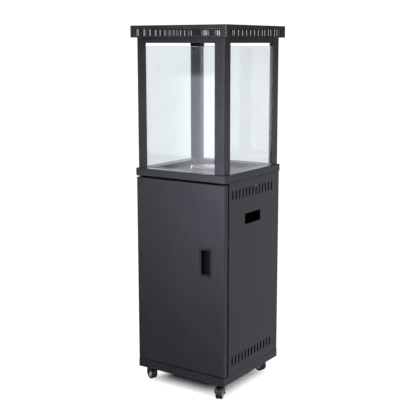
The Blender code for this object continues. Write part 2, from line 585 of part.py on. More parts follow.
# Casters: swivel plate, fork with its axle, and a twin-tread wheel
def caster(tag, x, y, heading):
    """heading is the direction, in degrees from +X, in which the wheel trails the swivel."""
    place = Matrix.Translation((x, y, 0)) @ Matrix.Rotation(math.radians(heading), 4, "Z")
    top = FLOOR_CLEAR - GAP
    plate = box("caster_plate_" + tag, x - 0.023, x + 0.023, y - 0.023, y + 0.023, top - 0.0022, top,
                0.004, upright)
    join(plate, lathe("c1", [
        (0, top - 0.0105), (0.0062, top - 0.0105), (0.0062, top - 0.0088), (0.0040, top - 0.0088),
        (0.0040, top - 0.0052), (0.0150, top - 0.0052), (0.0160, top - 0.0015), (0, top - 0.0015),
    ], 20, Matrix.Translation((x, y, 0))))
    w0, w1 = top - 0.0085, top - 0.0055
    fork = box("caster_fork_" + tag, -0.013, 0.022, -LEG_OUT, LEG_OUT, w0, w1, 0.004, upright)
    tools = []
    for i, s in enumerate((-1, 1)):
        bm = bmesh.new()
        rows = []
        for yy in (s * LEG_IN, s * LEG_OUT):
            tip = [(CASTER_TRAIL + 0.0060 * math.cos(a), WHEEL_R + 0.0060 * math.sin(a))
                   for a in [math.pi + math.pi * k / 6 for k in range(7)]]
            line = [(-0.011, w1 - 0.0002)] + tip + [(0.020, w1 - 0.0002)]
            rows.append([bm.verts.new((u, yy, z)) for u, z in line])
        bm.faces.new(rows[0])
        bm.faces.new(rows[1][::-1])
        n = len(rows[0])
        for k in range(n):
            m = (k + 1) % n
            bm.faces.new((rows[0][k], rows[0][m], rows[1][m], rows[1][k]))
        tools.append(from_bmesh("leg%d" % i, bm))
    tools.append(rod("axle", AXLE_R, (CASTER_TRAIL, -LEG_OUT - 0.0012, WHEEL_R),
                     (CASTER_TRAIL, LEG_OUT + 0.0012, WHEEL_R), 14))
    join(fork, *tools)
    cut(fork, rod("c1", 0.0042, (0, 0, w0 - 0.001), (0, 0, w1 + 0.001), 20))
    fork.data.transform(place)
    r = WHEEL_R
    wheel = lathe("caster_wheel_" + tag, [
        (AXLE_R + 0.0002, -0.0155), (0.0080, -0.0155), (0.0100, -0.0125), (r - 0.0060, -0.0110),
        (r - 0.0050, -0.0125), (r - 0.0015, -0.0120), (r, -0.0095), (r, -0.0030), (r - 0.0022, -0.0010),
        (r - 0.0022, 0.0010), (r, 0.0030), (r, 0.0095), (r - 0.0015, 0.0120), (r - 0.0050, 0.0125),
        (r - 0.0060, 0.0110), (0.0100, 0.0125), (0.0080, 0.0155), (AXLE_R + 0.0002, 0.0155),
    ], 20, place @ Matrix.Translation((CASTER_TRAIL, 0, WHEEL_R)) @ Matrix.Rotation(math.pi / 2, 4, "X"))
    return plate, fork, wheel


caster("front_right", CASTER_AT, -CASTER_AT, -68)
caster("front_left", -CASTER_AT, -CASTER_AT, 154)
caster("back_right", CASTER_AT, CASTER_AT, 165)
caster("back_left", -CASTER_AT, CASTER_AT, 100)

# Finishes
FINISHES = {
    "black_coat": ((0.045, 0.045, 0.050, 1), 0.3, 0.42),
    "glass": ((0.80, 0.86, 0.85, 1), 0.0, 0.03),
    "steel": ((0.62, 0.61, 0.59, 1), 1.0, 0.30),
    "brass": ((0.75, 0.60, 0.30, 1), 1.0, 0.30),
    "rubber": ((0.030, 0.030, 0.032, 1), 0.0, 0.60),
    "black_plastic": ((0.030, 0.030, 0.032, 1), 0.0, 0.45),
    "ceramic": ((0.85, 0.84, 0.80, 1), 0.0, 0.40),
    "zinc": ((0.50, 0.51, 0.53, 1), 1.0, 0.35),
    "copper": ((0.72, 0.38, 0.24, 1), 1.0, 0.35),
    "red_insulation": ((0.45, 0.05, 0.04, 1), 0.0, 0.50),
}


def finish_of(name):
    if name.startswith("glass_"):
        return "glass"
    if name.startswith("caster_wheel"):
        return "rubber"
    if name.startswith("caster_"):
        return "zinc"
    special = {
        "door_pull": "black_plastic", "door_catch": "black_plastic", "control_knob": "black_plastic",
        "igniter_body": "black_plastic", "igniter_button": "black_plastic", "tilt_switch": "black_plastic",
        "burner_tub": "steel", "burner_base": "steel", "burner_cap": "steel", "heat_shield": "steel",
        "pilot_bracket": "steel", "valve_stem": "steel", "thermocouple": "steel", "gas_valve": "zinc",
        "upper_hinge": "zinc", "lower_hinge": "zinc", "orifice": "brass", "inlet_fitting": "brass",
        "pilot_nozzle": "brass", "electrode": "ceramic", "supply_tube": "copper", "pilot_tube": "copper",
        "thermocouple_lead": "copper", "ignition_wire": "red_insulation",
    }
    return special.get(name, "black_coat")


for obj in scene.collection.objects:
    colour, metal, rough = FINISHES[finish_of(obj.name)]
    mat = bpy.data.materials.new(obj.name + "_finish")
    mat.use_nodes = True
    shader = mat.node_tree.nodes["Principled BSDF"]
    shader.inputs["Base Color"].default_value = colour
    shader.inputs["Metallic"].default_value = metal
    shader.inputs["Roughness"].default_value = rough
    if finish_of(obj.name) == "glass":
        shader.inputs["Alpha"].default_value = 0.35
    obj.data.materials.clear()
    obj.data.materials.append(mat)
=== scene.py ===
import json
import math

import bmesh
import bpy
from mathutils import Matrix, Vector


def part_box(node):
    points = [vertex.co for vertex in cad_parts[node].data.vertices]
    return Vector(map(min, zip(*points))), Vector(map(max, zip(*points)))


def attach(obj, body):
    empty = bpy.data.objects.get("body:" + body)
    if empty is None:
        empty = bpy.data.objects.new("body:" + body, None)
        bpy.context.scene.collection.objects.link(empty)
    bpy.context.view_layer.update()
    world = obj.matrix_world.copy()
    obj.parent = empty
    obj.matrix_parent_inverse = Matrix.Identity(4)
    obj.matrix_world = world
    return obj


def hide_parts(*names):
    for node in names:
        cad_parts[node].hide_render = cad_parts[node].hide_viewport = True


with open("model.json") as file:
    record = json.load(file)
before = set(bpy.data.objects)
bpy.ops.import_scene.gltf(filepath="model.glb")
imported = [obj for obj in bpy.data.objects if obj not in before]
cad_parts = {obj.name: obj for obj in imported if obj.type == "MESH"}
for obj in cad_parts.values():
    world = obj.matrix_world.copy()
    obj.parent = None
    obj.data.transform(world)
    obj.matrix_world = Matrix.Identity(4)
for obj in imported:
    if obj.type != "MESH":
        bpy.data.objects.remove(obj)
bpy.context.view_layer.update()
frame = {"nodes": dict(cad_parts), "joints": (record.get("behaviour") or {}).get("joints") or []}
joints = {joint["name"]: joint for joint in frame["joints"]}

# ---- Base tray
# A shallow box folded from mild steel, which carries the cabinet above and the casters below. Like all
# the black sheet here it is under baked polyester powder: a satin skin with a fine sand-like grain, a
# little lighter where the folded edges are rubbed. Faces that point up are painted paler in patches:
# painted light from above.
MERGE = 2e-6
COAT_GRAIN = 0.0022  # real grain is about 0.5 mm; drawn coarser so that it still shows
COAT_CLOUD = 0.11  # size of the patches of uneven gloss
COAT_WAVES = 5.5  # slow waves to the metre where the powder has flowed
# The first share is for painted light on faces that point up; the others are edge wear and grain.
TOP_LIGHT_SHARE, EDGE_WEAR, SPECKLE = 0.3, 0.6, 0.28
CRISP = math.radians(35)  # edges sharper than this are eased


def linear(code):
    """An sRGB hex colour as the linear colour that shaders take."""
    parts = [int(code[i:i + 2], 16) / 255 for i in (1, 3, 5)]
    return [p / 12.92 if p <= 0.04045 else ((p + 0.055) / 1.055) ** 2.4 for p in parts] + [1.0]


def add_node(tree, kind, feeds=(), **settings):
    """Adds one node: settings are its properties, feeds its inputs, each a value or a node's output.

    Inputs go by name or number. MapRange's 0 to 4 are the value, from low, from high, to low and to
    high. A colour Mix's 0, 6 and 7 are the share and the two colours.
    """
    made = tree.nodes.new("ShaderNode" + kind)
    for name, value in settings.items():
        setattr(made, name, value)
    for socket, value in dict(feeds).items():
        if isinstance(value, bpy.types.NodeSocket):
            tree.links.new(value, made.inputs[socket])
        else:
            made.inputs[socket].default_value = value
    return made


def new_finish(name):
    """An empty material and its node tree."""
    finish = bpy.data.materials.new(name)
    finish.use_nodes = True
    finish.node_tree.nodes.clear()
    return finish, finish.node_tree


def powder_coat(name, body, rubbed, top_light_colour, gloss_low, gloss_high):
    """Baked powder on steel: sand-like grain, cloudy gloss, rubbed edges, and painted light in patches
    on what faces up.
    """
    finish, tree = new_finish(name)
    place = add_node(tree, "TexCoord").outputs["Object"]
    grain = add_node(tree, "TexNoise", {"Vector": place, "Scale": 1 / COAT_GRAIN, "Detail": 3.0,
                                        "Roughness": 0.65}).outputs["Fac"]
    cloud = add_node(tree, "TexNoise", {"Vector": place, "Scale": 1 / COAT_CLOUD,
                                        "Detail": 4.0}).outputs["Fac"]
    facing = add_node(tree, "NewGeometry").outputs["Normal"]
    upward = add_node(tree, "SeparateXYZ", {0: facing}).outputs["Z"]
    # Painted light: faces that point up are mixed towards the paler colour in cloudy patches, as
    # overhead light would lift them.
    flat = add_node(tree, "MapRange", {0: upward, 1: 0.6, 2: 1.0, 3: 0.0, 4: TOP_LIGHT_SHARE}).outputs[0]
    painted_top_light = add_node(tree, "Math", {0: flat, 1: cloud}, operation="MULTIPLY").outputs[0]
    edge = add_node(tree, "Attribute", attribute_name="rubbed").outputs["Fac"]
    patchy = add_node(tree, "MapRange", {0: cloud, 1: 0.40, 2: 0.70, 3: 0.0, 4: EDGE_WEAR}).outputs[0]
    worn = add_node(tree, "Math", {0: edge, 1: patchy}, operation="MULTIPLY").outputs[0]
    sand = add_node(tree, "MapRange", {0: grain, 1: 0.35, 2: 0.68, 3: 0.0, 4: SPECKLE}).outputs[0]
    tint = linear(body)
    for share, shade in ((sand, rubbed), (painted_top_light, top_light_colour), (worn, rubbed)):
        tint = add_node(tree, "Mix", {0: share, 6: tint, 7: linear(shade)}, data_type="RGBA").outputs[2]
    wavy = add_node(tree, "TexNoise", {"Vector": place, "Scale": COAT_WAVES,
                                       "Detail": 1.0}).outputs["Fac"]
    pulled = add_node(tree, "Bump", {"Strength": 0.25, "Distance": 0.0035, "Height": wavy}).outputs[0]
    sandy = add_node(tree, "Bump", {"Strength": 0.30, "Distance": 0.0004, "Height": grain,
                                    "Normal": pulled}).outputs[0]
    gloss = add_node(tree, "MapRange", {0: cloud, 1: 0.3, 2: 0.7, 3: gloss_low,
                                        4: gloss_high}).outputs[0]
    shader = add_node(tree, "BsdfPrincipled", {"Base Color": tint, "Roughness": gloss, "IOR": 1.5,
                                               "Normal": sandy})
    add_node(tree, "OutputMaterial", {"Surface": shader.outputs[0]})
    return finish


def keep_piece(name, bm, finish, body, stands_for=(), smooth=None):
    """Turns the bmesh into the named piece. Edges sharper than smooth, in degrees, stay crisp."""
    if smooth is not None:
        for face in bm.faces:
            face.smooth = True
        for edge in bm.edges:
            angle = edge.calc_face_angle(0.0)
            edge.smooth = len(edge.link_faces) == 2 and angle < math.radians(smooth)
    mesh = bpy.data.meshes.new(name)
    bm.to_mesh(mesh)
    bm.free()
    mesh.materials.append(finish)
    piece = bpy.data.objects.new(name, mesh)
    bpy.context.scene.collection.objects.link(piece)
    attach(piece, body)
    if stands_for:
        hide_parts(*stands_for)
    return piece


def merged_copy(node):
    """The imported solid's own shape as one clean mesh with whole flat faces."""
    bm = bmesh.new()
    bm.from_mesh(frame["nodes"][node].data)
    bmesh.ops.remove_doubles(bm, verts=bm.verts, dist=MERGE)
    bmesh.ops.dissolve_limit(bm, angle_limit=math.radians(0.6), verts=bm.verts, edges=bm.edges)
    return bm


def folded_sheet(name, node, ease=0.0006, body="cabinet", finish=None):
    """A sheet's pressed shape with its cut and folded edges eased, as powder leaves them."""
    bm = merged_copy(node)
    rubbed = bm.faces.layers.float.new("rubbed")
    crisp = [edge for edge in bm.edges if edge.calc_face_angle(0.0) > CRISP]
    eased = bmesh.ops.bevel(bm, geom=crisp, affect="EDGES", offset=ease, offset_type="OFFSET",
                            segments=2, profile=0.5, material=-1, clamp_overlap=True)
    for face in eased["faces"]:
        face[rubbed] = 1.0
    return keep_piece(name, bm, finish or black_coat, body, [node])


black_coat = powder_coat("fine_texture_black_powder_coat", "#18181b", "#353538", "#626263",
                         0.20, 0.27)
folded_sheet("folded_base_tray", "base_tray", 0.0007)

# ---- Side and back panels
# 1.2 mm steel pans with punched rows of vents. The side pans also have a hand hole for lifting,
# and the back one wraps both rear corners. They are screwed to the deck and the tray.
folded_sheet("vented_right_panel", "right_panel", 0.0005)
folded_sheet("vented_left_panel", "left_panel", 0.0005)
folded_sheet("vented_back_panel", "back_panel", 0.0005)

# ---- Deck, posts, top rails and the angles behind the glass
# The deck is one folded plate with the burner opening. The posts are 2 mm folded angles that stand
# on it and end in a welded ring of rails, and thinner angles inside hold the glass against them.
folded_sheet("folded_deck", "deck", 0.0008)
folded_sheet("welded_top_rails", "top_frame", 0.0005)
CORNERS = {"front_right": (1, -1), "front_left": (-1, -1),
           "back_right": (1, 1), "back_left": (-1, 1)}
for corner in CORNERS:
    folded_sheet("folded_post_" + corner, "post_" + corner, 0.0006)
    folded_sheet("glass_angle_" + corner, "retainer_" + corner, 0.0003)

# ---- Cap
# A hood folded from 1.5 mm steel with a band of fine upright slots on all four sides, where the hot
# gas leaves. It is screwed up through its lip from the welded rails.
folded_sheet("slotted_cap", "cap", 0.0003)

# ---- Door
# A steel pan with a folded lip all round its back. It hangs on two pins at the left and is held shut
# by a magnet at the right, which pulls on the lip itself.
folded_sheet("folded_door", "door", 0.0007, "door")

# ---- Glass
# Four panes of 5 mm tempered float glass with ground and polished edges, faintly green from iron.
# Heat and wiping leave a thin film, so the gloss isn't quite even.
GLASS_EDGE = 0.0007
GLASS_IOR = 1.6  # float glass is about 1.52; set higher so that the panes reflect enough to be seen


def float_glass(name, tint, film):
    """Clear glass that light passes as a tinted sheet, with upright smears of a thin film."""
    finish, tree = new_finish(name)
    place = add_node(tree, "TexCoord").outputs["Object"]
    wiped = add_node(tree, "Mapping", {0: place, "Scale": (1.0, 1.0, 0.35)}).outputs[0]
    smear = add_node(tree, "TexNoise", {"Vector": wiped, "Scale": 14.0, "Detail": 5.0}).outputs["Fac"]
    filmed = add_node(tree, "MapRange", {0: smear, 1: 0.45, 2: 0.75, 3: 0.0, 4: 0.5}).outputs[0]
    shade = add_node(tree, "Mix", {0: filmed, 6: linear(tint), 7: linear(film)},
                     data_type="RGBA").outputs[2]
    haze = add_node(tree, "MapRange", {0: smear, 1: 0.4, 2: 0.8, 3: 0.0, 4: 0.035}).outputs[0]
    clear = add_node(tree, "BsdfPrincipled", {"Base Color": shade, "Roughness": haze,
                                              "IOR": GLASS_IOR, "Transmission Weight": 1.0})
    lamps = add_node(tree, "BsdfTransparent", {0: linear(tint)})
    ray = add_node(tree, "LightPath").outputs["Is Shadow Ray"]
    both = add_node(tree, "MixShader", {0: ray, 1: clear.outputs[0], 2: lamps.outputs[0]})
    add_node(tree, "OutputMaterial", {"Surface": both.outputs[0]})
    return finish


def block(low, high, ease=0.0, segments=2):
    """A block between two corners with all its edges eased."""
    low, high = Vector(low), Vector(high)
    bm = bmesh.new()
    bmesh.ops.create_cube(bm, size=1.0)
    bmesh.ops.scale(bm, vec=high - low, verts=bm.verts)
    bmesh.ops.translate(bm, vec=(low + high) / 2, verts=bm.verts)
    if ease:
        bmesh.ops.bevel(bm, geom=bm.edges[:], affect="EDGES", offset=ease, offset_type="OFFSET",
                        segments=segments, profile=0.5, material=-1, clamp_overlap=True)
    return bm


tempered_glass = float_glass("tempered_float_glass", "#eff3f4", "#e8ebed")
for side in ("front", "back", "left", "right"):
    low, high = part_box("glass_" + side)
    keep_piece("pane_" + side, block(low, high, GLASS_EDGE), tempered_glass, "cabinet",
               ["glass_" + side], 20)

# ---- Door pull
# A recessed cup moulded in black ABS with a fine spark texture, clipped through the door. A flat rim
# covers the cut-out and its mouth is eased for the fingers. The inside of the cup is a darker, rougher
# copy of the same plastic: painted shade for the recess.
PULL_RIM, PULL_WALL, RIM_THICK = 0.0095, 0.0015, 0.0009
MOUTH_STEP, CUP_DEEP, RIM_CORNER = 0.0012, 0.0145, 0.005
PLASTIC_PATCHES = 40.0  # patches to the metre where hands have polished it


def moulded_plastic(name, body, worn, rough, grain_size, ior=1.54):
    """Moulded plastic: an even colour with spark texture, a little polished where it is handled."""
    finish, tree = new_finish(name)
    place = add_node(tree, "TexCoord").outputs["Object"]
    grain = add_node(tree, "TexNoise", {"Vector": place, "Scale": 1 / grain_size,
                                        "Detail": 2.0}).outputs["Fac"]
    patch = add_node(tree, "TexNoise", {"Vector": place, "Scale": PLASTIC_PATCHES,
                                        "Detail": 3.0}).outputs["Fac"]
    spark = add_node(tree, "Bump", {"Strength": 0.35, "Distance": 0.0003, "Height": grain}).outputs[0]
    handled = add_node(tree, "MapRange", {0: patch, 1: 0.4, 2: 0.7, 3: 0.0, 4: 0.6}).outputs[0]
    shade = add_node(tree, "Mix", {0: handled, 6: linear(body), 7: linear(worn)},
                     data_type="RGBA").outputs[2]
    gloss = add_node(tree, "MapRange", {0: patch, 1: 0.3, 2: 0.7, 3: rough + 0.06,
                                        4: rough - 0.06}).outputs[0]
    shader = add_node(tree, "BsdfPrincipled", {"Base Color": shade, "Roughness": gloss, "IOR": ior,
                                               "Normal": spark})
    add_node(tree, "OutputMaterial", {"Surface": shader.outputs[0]})
    return finish


def add_shape(bm, other, matrix=Matrix.Identity(4)):
    """Puts a second bmesh into the first, moved by the matrix, and frees it."""
    if matrix.determinant() < 0:
        bmesh.ops.reverse_faces(other, faces=other.faces)
    bmesh.ops.transform(other, matrix=matrix, verts=other.verts)
    held = bpy.data.meshes.new("held")
    other.to_mesh(held)
    other.free()
    bm.from_mesh(held)
    bpy.data.meshes.remove(held)
    return bm


abs_plastic = moulded_plastic("spark_textured_black_abs", "#0c0c0e", "#161618", 0.44, 0.0011)
# The cup's inside is a darker copy of the plastic, painted shade for the recess. Its index is below a
# real plastic's, which is about 1.5, so that the cup stays dark.
cup_painted_shade = moulded_plastic("darker_cup_plastic_painted_shade", "#050506", "#0b0b0c", 0.80, 0.0014, 1.3)
low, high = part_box("door_pull")
mouth_middle = Vector(((low.x + high.x) / 2, low.y, (low.z + high.z) / 2))
bm = block(low, (high.x, low.y + RIM_THICK, high.z))
front = min(bm.faces, key=lambda face: face.calc_center_median().y)
back = max(bm.faces, key=lambda face: face.calc_center_median().y)
bmesh.ops.inset_region(bm, faces=[front], thickness=PULL_RIM - MOUTH_STEP, use_even_offset=True)
bmesh.ops.inset_region(bm, faces=[front], thickness=MOUTH_STEP, depth=-MOUTH_STEP / 2,
                       use_even_offset=True)
mouth = bmesh.ops.extrude_discrete_faces(bm, faces=[front])["faces"][0]
bmesh.ops.translate(bm, vec=(0, CUP_DEEP, 0), verts=mouth.verts)
bmesh.ops.inset_region(bm, faces=[mouth], thickness=0.0030, depth=-0.0018, use_even_offset=True)
bmesh.ops.inset_region(bm, faces=[back], thickness=PULL_RIM - PULL_WALL, use_even_offset=True)
shell = bmesh.ops.extrude_discrete_faces(bm, faces=[back])["faces"][0]
bmesh.ops.translate(bm, vec=(0, high.y - low.y - RIM_THICK, 0), verts=shell.verts)
bmesh.ops.recalc_face_normals(bm, faces=bm.faces)
# The rim's corners are rounded last, because an inset turns small rounded corners inside out.
rounds = [edge for edge in bm.edges if abs(edge.verts[0].co.y - edge.verts[1].co.y) > 0.0005
          and min(abs(edge.verts[0].co.x - low.x), abs(edge.verts[0].co.x - high.x)) < 1e-5]
bmesh.ops.bevel(bm, geom=rounds, affect="EDGES", offset=RIM_CORNER, segments=5, profile=0.5,
                material=-1)
lips = [edge for edge in bm.edges if edge.calc_face_angle(0.0) > math.radians(50)]
bmesh.ops.bevel(bm, geom=lips, affect="EDGES", offset=0.0004, segments=2, profile=0.5, material=-1,
                clamp_overlap=True)
# Faces inside the cup take the second, darker finish: painted shade for the recess.
for face in bm.faces:
    spot = face.calc_center_median()
    in_cup = low.y + 0.0008 < spot.y < low.y + 0.0180
    if in_cup and face.normal.dot(mouth_middle - spot) > 0:
        face.material_index = 1
pull = keep_piece("moulded_door_pull", bm, abs_plastic, "door", ["door_pull"])
pull.data.materials.append(cup_painted_shade)

# ---- Burner tub and heat shield
# Pressed 430 stainless, brushed before folding, so the gloss runs in fine lines along X. The tub hangs
# in the deck by its flange. Heat has tinted it in uneven rings, blue next to the burner and then
# straw, brown and straw again further out.
BRUSH_LINE = 0.0016  # real lines are about 0.1 mm apart; drawn coarser so that they still show
TUB_SCREW, SHIELD_SCREW = 0.0028, 0.0034  # head radii
TINT_FROM, TINT_TO = 0.03, 0.15  # distances from the burner's axis between which the tint runs


def heated_stainless(name, bare, straw, brown, blue):
    """Brushed stainless: lines along X, and temper colours by distance from the burner's axis."""
    finish, tree = new_finish(name)
    place = add_node(tree, "TexCoord").outputs["Object"]
    drawn = add_node(tree, "Mapping", {0: place, "Scale": (0.05, 1.0, 1.0)}).outputs[0]
    lines = add_node(tree, "TexNoise", {"Vector": drawn, "Scale": 1 / BRUSH_LINE,
                                        "Detail": 2.0}).outputs["Fac"]
    cloud = add_node(tree, "TexNoise", {"Vector": place, "Scale": 22.0, "Detail": 4.0}).outputs["Fac"]
    flat = add_node(tree, "VectorMath", {0: place, 1: (1.0, 1.0, 0.0)}, operation="MULTIPLY").outputs[0]
    out = add_node(tree, "VectorMath", {0: flat}, operation="LENGTH").outputs["Value"]
    licked = add_node(tree, "MapRange", {0: cloud, 1: 0.3, 2: 0.7, 3: 0.62, 4: 1.4}).outputs[0]
    uneven = add_node(tree, "Math", {0: out, 1: licked}, operation="MULTIPLY").outputs[0]
    heat = add_node(tree, "MapRange", {0: uneven, 1: TINT_FROM, 2: TINT_TO, 3: 0.0, 4: 1.0}).outputs[0]
    ramp = add_node(tree, "ValToRGB", {0: heat})
    for at, code in ((0.0, blue), (0.20, straw), (0.34, brown), (0.48, straw), (0.66, bare)):
        stop = ramp.color_ramp.elements.new(at)
        stop.color = linear(code)
    ramp.color_ramp.elements.remove(ramp.color_ramp.elements[0])
    ramp.color_ramp.elements[-1].color = linear(bare)
    brushed = add_node(tree, "Bump", {"Strength": 0.2, "Distance": 0.0002, "Height": lines}).outputs[0]
    gloss = add_node(tree, "MapRange", {0: lines, 1: 0.3, 2: 0.7, 3: 0.30, 4: 0.46}).outputs[0]
    shader = add_node(tree, "BsdfPrincipled", {"Base Color": ramp.outputs[0], "Metallic": 1.0,
                                               "Roughness": gloss, "Normal": brushed})
    add_node(tree, "OutputMaterial", {"Surface": shader.outputs[0]})
    return finish


def turned(profile, place=Matrix.Identity(4), steps=32):
    """A solid turned about its own axis from a (radius, height) outline.

    An outline that starts on the axis ends there too. Any other is closed into a ring.
    """
    bm = bmesh.new()
    points = [bm.verts.new((radius, 0.0, height)) for radius, height in profile]
    pairs = list(zip(points, points[1:]))
    if profile[0][0] > 0:
        pairs.append((points[-1], points[0]))
    outline = points + [bm.edges.new(pair) for pair in pairs]
    bmesh.ops.spin(bm, geom=outline, axis=(0, 0, 1), cent=(0, 0, 0), angle=math.tau, steps=steps,
                   use_merge=True)
    bmesh.ops.remove_doubles(bm, verts=bm.verts, dist=1e-6)
    bmesh.ops.recalc_face_normals(bm, faces=bm.faces)
    bmesh.ops.transform(bm, matrix=place, verts=bm.verts)
    return bm


def upright(box):
    """Puts a turned shape on the vertical line through the middle of a node's box."""
    middle = (box[0] + box[1]) / 2
    return Matrix.Translation((middle.x, middle.y, 0))


def pointing(place, direction):
    """Puts a shape whose axis is Z at the place with its axis along the direction."""
    turn = Vector((0, 0, 1)).rotation_difference(Vector(direction)).to_matrix().to_4x4()
    return Matrix.Translation(place) @ turn


def button_screws(name, spots, direction, radius, finish, body="cabinet"):
    """Button-head screws with a socket, one at each spot, all facing one way."""
    bm = bmesh.new()
    for spot in spots:
        add_shape(bm, turned([
            (0.0, radius * 0.22), (radius * 0.42, radius * 0.22), (radius * 0.46, radius * 0.58),
            (radius * 0.75, radius * 0.50), (radius, radius * 0.20), (radius, 0.0), (0.0, 0.0),
        ], pointing(spot, direction), 12))
    return keep_piece(name, bm, finish, body, smooth=35)


tub_steel = heated_stainless("heat_tinted_brushed_stainless", "#6c6b72", "#7d695a", "#6b3f2c",
                             "#77767f")
folded_sheet("pressed_burner_tub", "burner_tub", 0.0004, finish=tub_steel)
folded_sheet("heat_shield_plate", "heat_shield", 0.0003, finish=tub_steel)
rim_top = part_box("burner_tub")[1].z
AT_RIM = 0.1495
button_screws("tub_flange_screws", [(x * AT_RIM, y * AT_RIM, rim_top) for x, y in (
    (-1, -1), (0, -1), (1, -1), (-1, 0), (1, 0), (-1, 1), (0, 1), (1, 1))], (0, 0, 1),
    TUB_SCREW, tub_steel)
low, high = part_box("heat_shield")
button_screws("heat_shield_screws",
              [(x * (high.x - 0.025), y * (high.y - 0.025), low.z) for x, y in CORNERS.values()],
              (0, 0, -1), SHIELD_SCREW, tub_steel)

# ---- Burner
# A cup on its mixing tube with a ring of slotted ports, under a loose domed cap. Both are pressed from
# stainless and sit on the tub's floor, and the cap, lifted off the tub's heat, stays paler.
PORTS = 44
CUP_RADIUS = 0.052


def bearing_of(face):
    """The angle at which a face of a turned shape stands about the shape's axis."""
    spot = face.calc_center_median()
    return math.atan2(spot.y, spot.x)


def port_ring(bm, radius, bottom, top, depth):
    """Sinks every other facet of the turned wall into a port."""
    wall = [face for face in bm.faces
            if abs(face.normal.z) < 0.2 and bottom < face.calc_center_median().z < top
            and abs(face.calc_center_median().xy.length - radius) < 0.0006
            and face.normal.xy.dot(face.calc_center_median().xy) > 0]
    wall.sort(key=bearing_of)
    bmesh.ops.inset_individual(bm, faces=wall[::2], thickness=0.0006, depth=-depth,
                               use_even_offset=True)


low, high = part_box("burner_base")
foot, seat = low.z, high.z - 0.0095
cup = CUP_RADIUS
bm = turned([(0.0100, foot), (0.0118, foot), (0.0120, foot + 0.002), (0.0120, seat),
             (cup + 0.006, seat), (cup + 0.006, seat + 0.0010), (cup + 0.0004, seat + 0.0013),
             (cup, seat + 0.0020), (cup, seat + 0.0030), (cup, seat + 0.0090),
             (cup - 0.0004, seat + 0.0095),
             (cup - 0.0015, seat + 0.0095), (cup - 0.0015, seat + 0.0022), (0.0100, seat + 0.0022)],
            steps=2 * PORTS)
port_ring(bm, cup, seat + 0.0035, seat + 0.0085, 0.0010)
keep_piece("ported_burner_cup", bm, tub_steel, "cabinet", ["burner_base"], 30)
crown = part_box("burner_cap")[1].z
pale_steel = heated_stainless("bare_brushed_stainless", "#c0c1c6", "#bcb6ae", "#a9988a", "#c4c5cc")
bm = turned([(0.0, crown), (0.006, crown), (0.0068, crown - 0.0006), (0.0078, crown - 0.0006),
             (0.0086, crown - 0.0001), (cup - 0.004, crown - 0.0008), (cup, crown - 0.0020),
             (cup + 0.002, crown - 0.0032), (cup + 0.002, crown - 0.0050),
             (cup - 0.0018, crown - 0.0051), (cup - 0.0020, crown - 0.0088),
             (cup - 0.0034, crown - 0.0088), (cup - 0.0036, crown - 0.0038),
             (0.0, crown - 0.0036)], steps=48)
keep_piece("domed_burner_cap", bm, pale_steel, "cabinet", ["burner_cap"], 30)

# ---- Pilot group
# A bent bracket holds the brass pilot jet, the spark electrode in its white alumina sleeve and the
# thermocouple's tip, which all stand in the pilot flame beside the burner.
folded_sheet("pilot_bracket_strip", "pilot_bracket", 0.0002, finish=tub_steel)


def plain_metal(name, body, tarnish, low_rough, high_rough, patch_size, scratch=0.15):
    """Bare or plated metal: handled and tarnished in patches, with fine random scratches."""
    finish, tree = new_finish(name)
    place = add_node(tree, "TexCoord").outputs["Object"]
    patch = add_node(tree, "TexNoise", {"Vector": place, "Scale": 1 / patch_size,
                                        "Detail": 4.0}).outputs["Fac"]
    lines = add_node(tree, "TexNoise", {"Vector": place, "Scale": 900.0, "Detail": 2.0,
                                        "Distortion": 1.5}).outputs["Fac"]
    rough = add_node(tree, "Bump", {"Strength": scratch, "Distance": 0.0002,
                                    "Height": lines}).outputs[0]
    dulled = add_node(tree, "MapRange", {0: patch, 1: 0.35, 2: 0.7, 3: 0.0, 4: 0.8}).outputs[0]
    shade = add_node(tree, "Mix", {0: dulled, 6: linear(body), 7: linear(tarnish)},
                     data_type="RGBA").outputs[2]
    gloss = add_node(tree, "MapRange", {0: patch, 1: 0.3, 2: 0.7, 3: low_rough,
                                        4: high_rough}).outputs[0]
    shader = add_node(tree, "BsdfPrincipled", {"Base Color": shade, "Metallic": 1.0,
                                               "Roughness": gloss, "Normal": rough})
    add_node(tree, "OutputMaterial", {"Surface": shader.outputs[0]})
    return finish


def hexagon(across, low_z, high_z, place=Matrix.Identity(4)):
    """A hex of stock, chamfered at both ends as a nut is."""
    bm = bmesh.new()
    bmesh.ops.create_cone(bm, cap_ends=True, segments=6, radius1=across / 2, radius2=across / 2,
                          depth=high_z - low_z, matrix=Matrix.Translation((0, 0, (low_z + high_z) / 2)))
    ends = [edge for edge in bm.edges if abs(edge.verts[0].co.z - edge.verts[1].co.z) < 1e-6]
    bmesh.ops.bevel(bm, geom=ends, affect="EDGES", offset=across * 0.05, segments=1, profile=0.5,
                    material=-1)
    bmesh.ops.transform(bm, matrix=place, verts=bm.verts)
    return bm


free_brass = plain_metal("free_cutting_brass", "#c09a55", "#8e6d3c", 0.24, 0.42, 0.010)
low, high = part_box("pilot_nozzle")
at_jet = upright((low, high))
bm = turned([(0.0, low.z), (0.0040, low.z), (0.0042, low.z + 0.0006), (0.0042, high.z - 0.0045),
             (0.0030, high.z - 0.0022), (0.0030, high.z - 0.0004), (0.0024, high.z),
             (0.0010, high.z), (0.0008, high.z - 0.002), (0.0, high.z - 0.002)], at_jet, 28)
add_shape(bm, hexagon(0.0100, low.z + 0.001, low.z + 0.0055, at_jet))
keep_piece("pilot_jet", bm, free_brass, "cabinet", ["pilot_nozzle"], 30)

